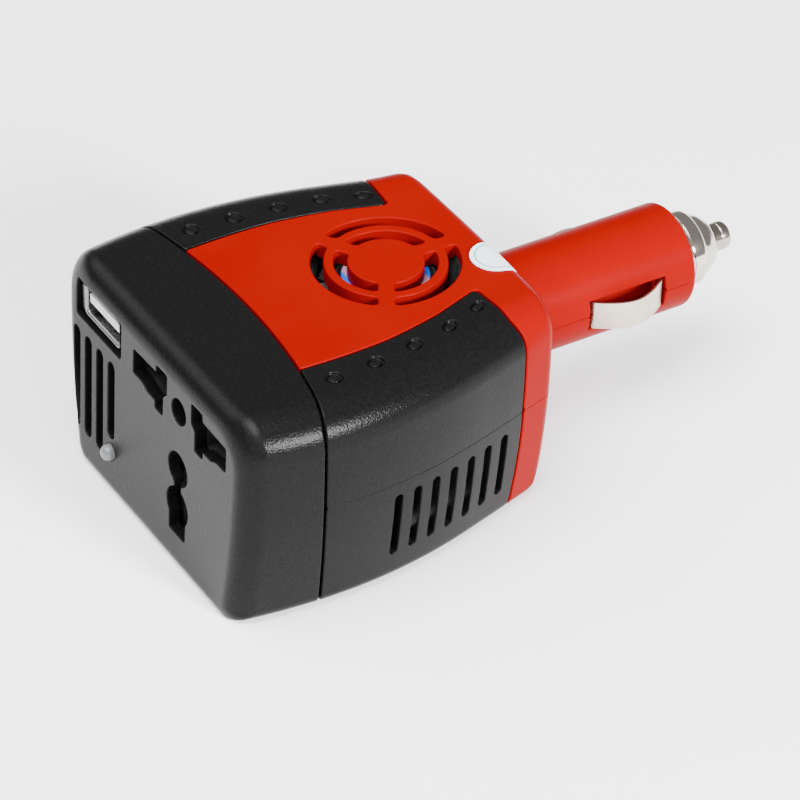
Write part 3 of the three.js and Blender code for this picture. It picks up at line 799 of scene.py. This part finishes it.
def drawn_in(lift, z):
    """Half width and y, at height z, of the section as the front rounding draws it in.

    The half width is -1 above and below the section."""
    top, side, base = FRONT_INSET
    reach = top / (HEIGHT - AXIS_Z) if z > AXIS_Z else base / AXIS_Z
    level = AXIS_Z + (z - AXIS_Z) / (1 - reach * lift)
    inset, s = flare(level), BASE_U
    wide, high = SHOULDER
    if level > HEIGHT - high:
        c = min(1.0, (level - HEIGHT + high) / high)
        inset = wide * (1 - math.sqrt(1 - c * c))
        s = TOP_U + (WALL_U - TOP_U) * math.acos(c) / (pi / 2)
    elif level < FOOT:
        c = min(1.0, 1 - level / FOOT)
        inset += FOOT * (1 - math.sqrt(1 - c * c))
        s = BASE_U + (FLOOR_U - BASE_U) * math.asin(c) / (pi / 2)
    y = FRONT_Y + along_section(s, *FRONT_ROUND) * (1 - math.sqrt(1 - (1 - lift) ** 2))
    w = half_width(y)
    if level > HEIGHT + 1e-6 or level < -1e-6:
        return -1.0, y
    return (w - inset) * (1 - side * lift / w), y


def front_point(x, z):
    """Where a place seen square on from the front lies on the cap's front and its rounding."""
    low, high = 0.0, 1.0
    if abs(x) > drawn_in(high, z)[0]:
        for _ in range(24):
            middle = (low + high) / 2
            if abs(x) <= drawn_in(middle, z)[0]:
                low = middle
            else:
                high = middle
        high = low
    y = drawn_in(high, z)[1]
    return Vector((x, y + front_lean(y, z), z))


def front_cap_skin():
    """The front cap: a sleeve that begins to round over, then the pierced front with the rest of the rounding."""
    skin = Skin()
    columns = [-END_U + 2 * END_U * k / 250 for k in range(250)]
    straight, bend = 14, 6

    def rows(u):
        deep = along_section(abs(u), *FRONT_ROUND)
        seam = seam_v(u) - GAP / 2 - CAP_LIP
        start = FRONT_Y + deep
        return ([seam + (start - seam) * j / straight for j in range(straight)]
                + [start - deep / 2 * k / bend for k in range(bend + 1)])

    flat, quads = [], []
    for u in columns:
        flat += [(u, v) for v in rows(u)]
    per = straight + bend + 1
    for i in range(len(columns)):
        j = (i + 1) % len(columns)
        quads += [[i * per + k, i * per + k + 1, j * per + k + 1, j * per + k] for k in range(per - 1)]
    skin.patch(flat, quads, case_point)
    rim = [case_point(u, rows(u)[-1]) for u in columns]
    outline = [Vector((p.x, p.z)) for p in reversed(rim)]
    skin.patch(*fill([outline] + [hole(loop, HOLE_LIP) for loop in front_holes()], 0.9), front_point)
    return skin


def build_front_cap(look):
    skin = front_cap_skin().thicken(lambda p: WALL, lambda p: CAP_LIP if p.y > -56 else HOLE_LIP)
    skin_piece("front_cap_moulding", skin, look, "root", "front_cap")


# ---------- 12 V plug ----------

def build_end_cap(look):
    """The turned nose that screws into the barrel."""
    profile = rounded_profile([
        (44, 5, 0), (56, 5, 0), (56, 3.15, 0), (58.9, 3.15, 0.1), (58.9, 3.7, 0.25), (57.9, 5.0, 0.5),
        (56.3, 6.05, 0.6), (54.5, 6.75, 0.4), (54.2, 7.2, 0.2), (53.8, 7.4, 0.3), (51.6, 7.4, 0.05),
        (51.45, 7.25, 0.05), (51.2, 7.25, 0.05), (51.05, 7.4, 0.05),
        (50.2, 7.4, 0.2), (50.2, 6.6, 0.1), (44, 6.6, 0.1)])
    points, faces = turned(profile, Vector((0, 0, AXIS_Z)), PLUG_AXIS, 72)
    obj = piece("end_cap_turned", points, faces, look, "end_cap", "end_cap")
    return shade(obj)


def build_tip(look):
    """The spring-loaded centre pin."""
    profile = rounded_profile([
        (52.7, 0, 0), (52.7, 4.5, 0.2), (53.8, 4.5, 0.2), (53.8, 2.8, 0.1), (60.6, 2.8, 0.05), (60.75, 2.68, 0.05),
        (60.95, 2.68, 0.05), (61.1, 2.8, 0.05), (62.5, 2.8, 0.5), (63.2, 2.1, 0.7), (63.5, 0.9, 0.5), (63.5, 0, 0)])
    points, faces = turned(profile, Vector((0, 0, AXIS_Z)), PLUG_AXIS, 56)
    return shade(piece("tip_pin", points, faces, look, "tip", "tip_contact"))


def shade(obj, angle=40):
    """Keeps a piece's smooth shading from running over edges sharper than the angle."""
    obj.data.set_sharp_from_angle(angle=math.radians(angle))
    return obj


def build_side_contact(look, side, label):
    """A bowed spring strip with its ends tucked into the barrel."""
    y0, y1 = 26.1, 42.1
    steps = 40
    z_mid, half, thick = AXIS_Z - 0.25, 2.95, 0.5

    def face_at(t):
        return Vector((9.9 + 3.5 * sin(pi * t), y0 + (y1 - y0) * t))

    outer = [Vector((8.6, y0))] + [face_at(k / steps) for k in range(steps + 1)] + [Vector((8.6, y1))]
    outer = relax(resample(outer, 0.35), 2)
    inner = offset(outer, thick)
    corner = [(0.12, half), (0.035, half - 0.035), (0.0, half - 0.12)]
    ring = ([(d, -z) for d, z in corner] + corner[::-1] + [(thick - d, z) for d, z in corner]
            + [(thick - d, -z) for d, z in corner[::-1]])
    points, faces = [], []
    for a, b in zip(outer, inner):
        for depth, z in ring:
            p = a.lerp(b, depth / thick)
            points.append(Vector((side * p.x, p.y, z_mid + z)))
    n, count = len(ring), len(outer)
    for i in range(count - 1):
        for k in range(n):
            j = (k + 1) % n
            quad = [i * n + k, i * n + j, (i + 1) * n + j, (i + 1) * n + k]
            faces.append(quad if side > 0 else quad[::-1])
    caps = [list(range(n)), [(count - 1) * n + k for k in range(n)][::-1]]
    faces += [c[::-1] if side > 0 else c for c in caps]
    name = f"side_contact_{label}"
    return shade(piece(name + "_strip", points, faces, look, f"contact_{label}", name))


def build_contact_seat(look):
    """The moulded sleeve that closes the side contacts' openings towards the fuse."""
    profile = rounded_profile([(21.5, 6.0, 0.1), (21.5, 6.9, 0.1), (43.4, 6.9, 0.1), (43.4, 6.0, 0.1)])
    points, faces = turned(profile, Vector((0, 0, AXIS_Z)), PLUG_AXIS, 48)
    return shade(piece("contact_seat_sleeve", points, faces, look, "root", None))


# ---------- Front fittings ----------

def build_led(look):
    face, r = FRONT_Y + FRONT_LEAN * (LAMP[1] - SOCKET_Z), 1.6
    bends = [pi / 2 * k / 9 for k in range(8, -1, -1)]
    profile = [(face - 0.3 - r, 0.0)] + [(face - 0.3 - r * sin(a), r * cos(a)) for a in bends]
    profile += [(face + 3.2, r), (face + 3.2, 1.9), (face + 4.5, 1.9), (face + 4.5, 0)]
    points, faces = turned(profile, Vector((LAMP[0], 0, LAMP[1])), PLUG_AXIS, 36)
    return shade(piece("status_led_dome", points, faces, look, "root", "status_led"))


def rounded_box_loop(x, z, width, height, radius, step=0.35):
    w, h = width / 2 - radius, height / 2 - radius
    loop = []
    for i, (sx, sz) in enumerate(((1, 1), (-1, 1), (-1, -1), (1, -1))):
        turns = [pi / 2 * i + pi / 2 * k / 4 for k in range(5)]
        loop += [around(x + sx * w, z + sz * h, radius, t) for t in turns]
    return resample(loop, step, closed=True)


def build_usb_shell(look):
    """The folded steel shell with its outward flared mouth."""
    stations = [(0.8, 0.3), (0.95, 0.12), (1.3, 0.03), (2.2, 0.0), (13.0, 0.0)]    # depth behind the front, growth
    points, faces, rows = [], [], []
    mouth = rounded_box_loop(*USB, 13.1, 5.8, 0.8)
    count = len(mouth)
    for thick, order in ((0.0, stations), (0.3, list(reversed(stations)))):
        for y, grow in order:
            loop = offset(mouth, -(grow - thick), closed=True)
            rows.append(list(range(len(points), len(points) + count)))
            points += [Vector((p.x, FRONT_Y + y + (0.12 if thick and y < 1.5 else 0), p.y)) for p in loop]
    for low, high in zip(rows, rows[1:] + rows[:1]):
        faces += bridge(low, high)
    tab = rounded_box_loop(USB[0] - 7.3, USB[1], 1.3, 5.4, 0.25, 0.3)
    for y in (0.95, 1.25):
        rows.append(list(range(len(points), len(points) + len(tab))))
        points += [Vector((p.x, FRONT_Y + y, p.y)) for p in tab]
    front, rear = rows[-2:]
    faces += [[front[k - 1], front[k], rear[k], rear[k - 1]] for k in range(len(tab))] + [front[::-1], rear]
    faces = [f[::-1] for f in faces]
    shade(piece("usb_shell_folded", points, faces, look, "root", "usb_shell"), 50)


EDGE_PARTS = ((-28.8, 1.2, 4.0), (-24.5, 1.1, 3.6), (-20.2, 1.3, 4.0), (-15.9, 1.0, 3.4))  # y, radius, length


def build_edge_parts():
    """Small parts reaching past the board's sides to the vents: tinned and ceramic bodies on their leads."""
    tin = moulded("tinned_body", (0.70, 0.70, 0.68), (0.82, 0.82, 0.80), 0.3)
    cream = moulded("ceramic_body", (0.55, 0.52, 0.44), (0.66, 0.63, 0.55), 0.45)
    for side, label in ((-1, "left"), (1, "right")):
        lead_axis = (Vector((-side, 0, 0)), Vector((0, 0, 1)), Vector((0, -side, 0)))
        for k, (y, r, length) in enumerate(EDGE_PARTS):
            x, z = side * (half_width(y) - flare(9) - WALL - r - 0.3), 8.6 + r
            half = [(-length / 2, 0, 0), (-length / 2, r, 0.3), (-length / 6, r, 0.1), (-length / 6, r * 0.86, 0.1)]
            body = rounded_profile(half + [(-d, radius, bend) for d, radius, bend in reversed(half)])
            points, faces = turned(body, Vector((x, y, z)), PLUG_AXIS, 28)
            reach = abs(x) - 21
            wire = rounded_profile([(0, 0, 0), (0, 0.3, 0.05), (reach, 0.3, 0.05), (reach, 0, 0)])
            for end in (-length / 4, length / 4):
                more, rings = turned(wire, Vector((x, y + end, z)), lead_axis, 10)
                faces += [[i + len(points) for i in ring] for ring in rings]
                points += more
            look = cream if k % 2 else tin
            shade(piece(f"edge_part_{label}_{k + 1}", points, faces, look, "root", None))


# ---------- Materials ----------

FINE = 0.00003  # depth, in metres, of the finest grain

def new_look(name):
    look = bpy.data.materials.new(name)
    look.use_nodes = True
    tree = look.node_tree
    shader = next(n for n in tree.nodes if n.type == "BSDF_PRINCIPLED")
    place = tree.nodes.new("ShaderNodeTexCoord")
    return look, shader, place.outputs["Object"]


def connect(node, **values):
    """Links a node's sockets to outputs, and sets the sockets that are given plain values."""
    for name, value in values.items():
        socket = node.inputs[name.replace("_", " ")]
        if isinstance(value, bpy.types.NodeSocket):
            node.id_data.links.new(value, socket)
        else:
            socket.default_value = value


def add_node(source, kind, **values):
    """A new node in the tree that the source socket belongs to."""
    node = source.id_data.nodes.new("ShaderNode" + kind)
    connect(node, **values)
    return node


def noise(place, scale, detail, roughness):
    return add_node(place, "TexNoise", Vector=place, Scale=scale, Detail=detail, Roughness=roughness).outputs["Fac"]


def ramp(value, stops):
    """A ramp through (position, colour) stops; a plain number is a grey."""
    node = add_node(value, "ValToRGB", Fac=value)
    band = node.color_ramp
    while len(band.elements) < len(stops):
        band.elements.new(0.5)
    for element, (at, colour) in zip(band.elements, stops):
        element.position = at
        element.color = (colour, colour, colour, 1) if isinstance(colour, float) else (*colour, 1)
    return node.outputs["Color"]


def bump(height, strength, distance):
    return add_node(height, "Bump", Height=height, Strength=strength, Distance=distance).outputs["Normal"]


def black_plastic():
    """Black ABS with a fine spark-eroded grain that sparkles where light grazes it."""
    look, shader, place = new_look("black_abs")
    low, high = (0.0028, 0.0028, 0.0030), (0.0048, 0.0048, 0.0051)
    tone = ramp(noise(place, 1400, 4, 0.6), [(0.3, low), (0.7, high)])
    rough = ramp(noise(place, 60, 3, 0.5), [(0.3, 0.21), (0.7, 0.26)])
    grain = bump(noise(place, 2500, 2, 0.6), 1.0, 0.00006)
    connect(shader, Base_Color=tone, Roughness=rough, Normal=grain, Specular_IOR_Level=0.06)
    return look


def red_plastic():
    """Smooth red ABS with faint flow marks."""
    look, shader, place = new_look("red_abs")
    low, high = (0.150, 0.0001, 0.0), (0.165, 0.0002, 0.0)
    tone = ramp(noise(place, 45, 3, 0.5), [(0.3, low), (0.7, high)])
    rough = ramp(noise(place, 90, 4, 0.6), [(0.3, 0.33), (0.7, 0.37)])
    fine = bump(noise(place, 2600, 2, 0.5), 0.16, FINE)
    connect(shader, Base_Color=tone, Roughness=rough, Normal=fine, Specular_IOR_Level=0.025)
    return look


def metal(name, colour, rough, stretch, grain=1500):
    """Plain or plated metal with a mottled tone and faint streaks in its gloss.

    Stretch scales the streaks' pattern along the three axes, so it runs on where the number is small."""
    look, shader, place = new_look(name)
    stretched = add_node(place, "Mapping", Vector=place, Scale=stretch).outputs["Vector"]
    lines = noise(stretched, grain, 3, 0.6)
    dark = tuple(c * 0.86 for c in colour)
    tone = ramp(noise(place, 260, 3, 0.6), [(0.35, dark), (0.65, colour)])
    finish = ramp(lines, [(0.25, rough * 0.8), (0.75, rough * 1.25)])
    fine = bump(lines, 0.12, 0.00002)
    connect(shader, Base_Color=tone, Roughness=finish, Normal=fine, Metallic=1.0)
    return look


def moulded(name, low, high, rough, grain=1800, depth=0.2, **values):
    """A plain non-metal with mottled tone and fine grain."""
    look, shader, place = new_look(name)
    tone = ramp(noise(place, 320, 4, 0.6), [(0.3, low), (0.7, high)])
    finish = ramp(noise(place, 150, 3, 0.5), [(0.3, rough * 0.9), (0.7, rough * 1.1)])
    fine = bump(noise(place, grain, 3, 0.6), depth, FINE)
    connect(shader, Base_Color=tone, Roughness=finish, Normal=fine, **values)
    return look


def distance_from(place, point, scale, along=(1, 1, 1)):
    """How far the shaded point is from a point of the row frame, along the chosen axes, times scale."""
    scales = [a * scale for a in along]
    start = [-c * a for c, a in zip(point, scales)]
    moved = add_node(place, "Mapping", Vector=place, Location=start, Scale=scales).outputs["Vector"]
    reach = add_node(place, "VectorMath", Vector=moved)
    reach.operation = "LENGTH"
    return reach.outputs["Value"]


def hub_label():
    """The fan hub's foil label, blue with a pinkish silver band across it, on dark plastic."""
    look, shader, place = new_look("hub_label")
    middle = (0, FAN_Y * MM + SHIFT, 41.8 * MM)
    blue, silver, dark = (0.005, 0.09, 0.45), (0.26, 0.14, 0.19), (0.004, 0.004, 0.0045)
    foil = ramp(distance_from(place, middle, 100.0, (0, 1, 0)), [
        (0.0, silver), (0.62, silver), (0.68, blue), (1.0, blue)])
    rim = ramp(distance_from(place, middle, 100.0), [(0.0, 0.0), (0.81, 0.0), (0.83, 1.0), (1.0, 1.0)])
    tone = add_node(rim, "Mix")
    tone.data_type = "RGBA"
    sockets = {socket.identifier: socket for socket in (*tone.inputs, *tone.outputs)}
    sockets["B_Color"].default_value = (*dark, 1)
    look.node_tree.links.new(rim, sockets["Factor_Float"])
    look.node_tree.links.new(foil, sockets["A_Color"])
    fine = bump(noise(place, 700, 3, 0.5), 0.15, FINE)
    connect(shader, Base_Color=sockets["Result_Color"], Normal=fine, Roughness=0.4, Specular_IOR_Level=0.15)
    return look


def sticker_paper():
    """White gloss paper with a pale blue printed ring and no lettering."""
    look, shader, place = new_look("sticker_paper")
    white, blue = (0.66, 0.73, 0.77), (0.05, 0.26, 0.46)
    middle = (8.8 * MM, 4.8 * MM + SHIFT, HEIGHT * MM)
    tone = ramp(distance_from(place, middle, 200.0), [
        (0.0, white), (0.745, white), (0.765, blue), (0.80, blue), (0.82, white), (1.0, white)])
    fine = bump(noise(place, 900, 3, 0.5), 0.1, FINE)
    connect(shader, Base_Color=tone, Normal=fine, Roughness=0.35)
    return look


# ---------- Carried-over CAD nodes ----------

def finish_node(name, look, bevel):
    """Gives a carried-over CAD node its material and, unless the bevel is 0, rounded edges."""
    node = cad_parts[name]
    node.data.materials.clear()
    node.data.materials.append(look)
    if bevel:
        soften(node, bevel)


def finish_inner_parts():
    steel = metal("spring_steel", (0.60, 0.59, 0.57), 0.3, (1, 6, 1))
    resin = moulded("transistor_resin", (0.015, 0.015, 0.016), (0.025, 0.025, 0.027), 0.45)
    fan_plastic = moulded("fan_plastic", (0.010, 0.010, 0.011), (0.018, 0.018, 0.019), 0.38)
    for look, bevel, names in (
        (moulded("socket_insulator", (0.008, 0.008, 0.009), (0.014, 0.014, 0.015), 0.5), 0.35, "socket_block"),
        (metal("contact_brass", (0.72, 0.52, 0.24), 0.28, (1, 8, 1)), 0.12,
         "contact_live contact_neutral contact_earth rear_contact"),
        # The USB tongue's white plastic is dimmed to grey: its own colour with painted shade of the socket's
        # inside.
        (moulded("usb_tongue_white_painted_shade", (0.42, 0.42, 0.41), (0.52, 0.52, 0.50), 0.4), 0.2, "usb_tongue"),
        (moulded("washer_fibre", (0.10, 0.05, 0.025), (0.16, 0.09, 0.045), 0.7, 900, 0.5), 0.1,
         "insulating_washer"),
        (moulded("fuse_glass", (0.72, 0.74, 0.74), (0.80, 0.82, 0.82), 0.12), 0.1, "fuse"),
        (steel, 0, "fuse_spring"),
        (resin, 0.2, "fuse_carrier"),
        (fan_plastic, 0.3, "fan_frame"),
        (fan_plastic, 0.15, "fan_rotor"),
        (moulded("board_laminate", (0.02, 0.11, 0.045), (0.03, 0.15, 0.06), 0.35), 0.1, "circuit_board"),
        (moulded("ferrite", (0.02, 0.02, 0.022), (0.045, 0.045, 0.05), 0.6, 1200, 0.5), 0.4, "transformer_core"),
        (moulded("winding_tape", (0.55, 0.38, 0.05), (0.66, 0.48, 0.08), 0.3), 0.5, "transformer_winding"),
        (moulded("capacitor_sleeve", (0.02, 0.06, 0.22), (0.03, 0.09, 0.30), 0.3), 0.3,
         "input_capacitor_left input_capacitor_right output_capacitor"),
        (metal("heatsink_aluminium", (0.78, 0.79, 0.80), 0.34, (1, 1, 10)), 0.15, "heatsink"),
        (resin, 0.25, "transistor_left transistor_right"),
        (moulded("lead_black", (0.012, 0.012, 0.012), (0.02, 0.02, 0.02), 0.4), 0, "supply_lead_left"),
        (moulded("lead_red", (0.42, 0.01, 0.008), (0.5, 0.015, 0.01), 0.4), 0, "supply_lead_right"),
        (steel, 0.12, "case_screw_1 case_screw_2 case_screw_3 case_screw_4"),
        (sticker_paper(), 0, "inspection_sticker"),
        (hub_label(), 0, "fan_hub_label"),
    ):
        for name in names.split():
            finish_node(name, look, bevel)


# ---------- Studio ----------

def build_floor():
    """A pale sweep under the object."""
    size = 6.0
    mesh = bpy.data.meshes.new("studio_floor")
    corners = [(-size, -size, 0), (size, -size, 0), (size, size, 0), (-size, size, 0)]
    below = 0.0002
    mesh.from_pydata([(x, y, z - below) for x, y, z in corners], [], [(0, 1, 2, 3)])
    floor = bpy.data.objects.new("studio_floor", mesh)
    bpy.context.scene.collection.objects.link(floor)
    look, shader, place = new_look("studio_white")
    tone = ramp(noise(place, 3, 2, 0.5), [(0.3, (0.90, 0.90, 0.90)), (0.7, (0.92, 0.92, 0.92))])
    connect(shader, Base_Color=tone, Roughness=0.9, Specular_IOR_Level=0.1)
    mesh.materials.append(look)


def build_lights():
    world = bpy.data.worlds.new("studio")
    bpy.context.scene.world = world
    world.use_nodes = True
    sky = world.node_tree.nodes["Background"]
    sky.inputs["Color"].default_value = (1, 1, 1, 1)
    sky.inputs["Strength"].default_value = 0.35
    for name, place, size, power, target in (
        ("overhead_softbox", (0.10, -0.40, 1.30), 0.9, 47.0, (0, 0, 0.02)),
        ("rim_softbox", (1.00, 0.20, 0.50), 0.24, 46.0, (0, 0, 0.02)),
        ("key_softbox", (-0.80, -0.50, 0.90), 0.8, 9.0, (0, -0.02, 0.02)),
        ("fill_softbox", (0.80, -0.90, 1.00), 2.0, 22.0, (0, 0, 0.02)),
    ):
        lamp = bpy.data.lights.new(name, "AREA")
        lamp.shape = "SQUARE"
        lamp.size = size
        lamp.energy = power
        obj = bpy.data.objects.new(name, lamp)
        obj.location = place
        obj.rotation_euler = (Vector(target) - Vector(place)).to_track_quat("-Z", "Y").to_euler()
        bpy.context.scene.collection.objects.link(obj)


def build_camera():
    lens = bpy.data.cameras.new("photo_view")
    lens.lens = 203.6
    lens.sensor_width = 36
    lens.clip_start, lens.clip_end = 0.05, 20
    camera = bpy.data.objects.new("photo_view", lens)
    right = Vector((0.5124, 0.8586, 0.0167)).normalized()
    back = Vector((0.6807, -0.4179, 0.6017)).normalized()
    up = back.cross(right).normalized()
    right = up.cross(back)
    turn = Matrix((right, up, back)).transposed().to_4x4()
    camera.matrix_world = Matrix.Translation((0.5804, -0.3653, 0.5246)) @ turn
    bpy.context.scene.collection.objects.link(camera)
    bpy.context.scene.camera = camera


# ---------- Assembly ----------

black, red = black_plastic(), red_plastic()
nickel_strip = metal("nickel_strip", (0.62, 0.53, 0.44), 0.26, (1, 0.15, 8), 500)
nickel_turned = metal("nickel_turned", (0.62, 0.57, 0.50), 0.12, (1, 12, 1), 400)
nickel_worn = metal("nickel_worn", (0.40, 0.36, 0.31), 0.2, (1, 12, 1), 400)

build_front_cap(black)
build_shells(red)
build_grips(black)
build_end_cap(nickel_turned)
build_tip(nickel_worn)
build_side_contact(nickel_strip, -1, "left")
build_side_contact(nickel_strip, 1, "right")
build_contact_seat(red)
build_edge_parts()
build_led(moulded("led_frosted", (0.34, 0.35, 0.37), (0.42, 0.43, 0.45), 0.3, Transmission_Weight=0.7))
# The USB shell's steel is far darker than real steel: painted shade of the socket's dark inside.
build_usb_shell(metal("usb_steel", (0.18, 0.18, 0.18), 0.26, (6, 1, 1)))
finish_inner_parts()
build_floor()
build_lights()
build_camera()
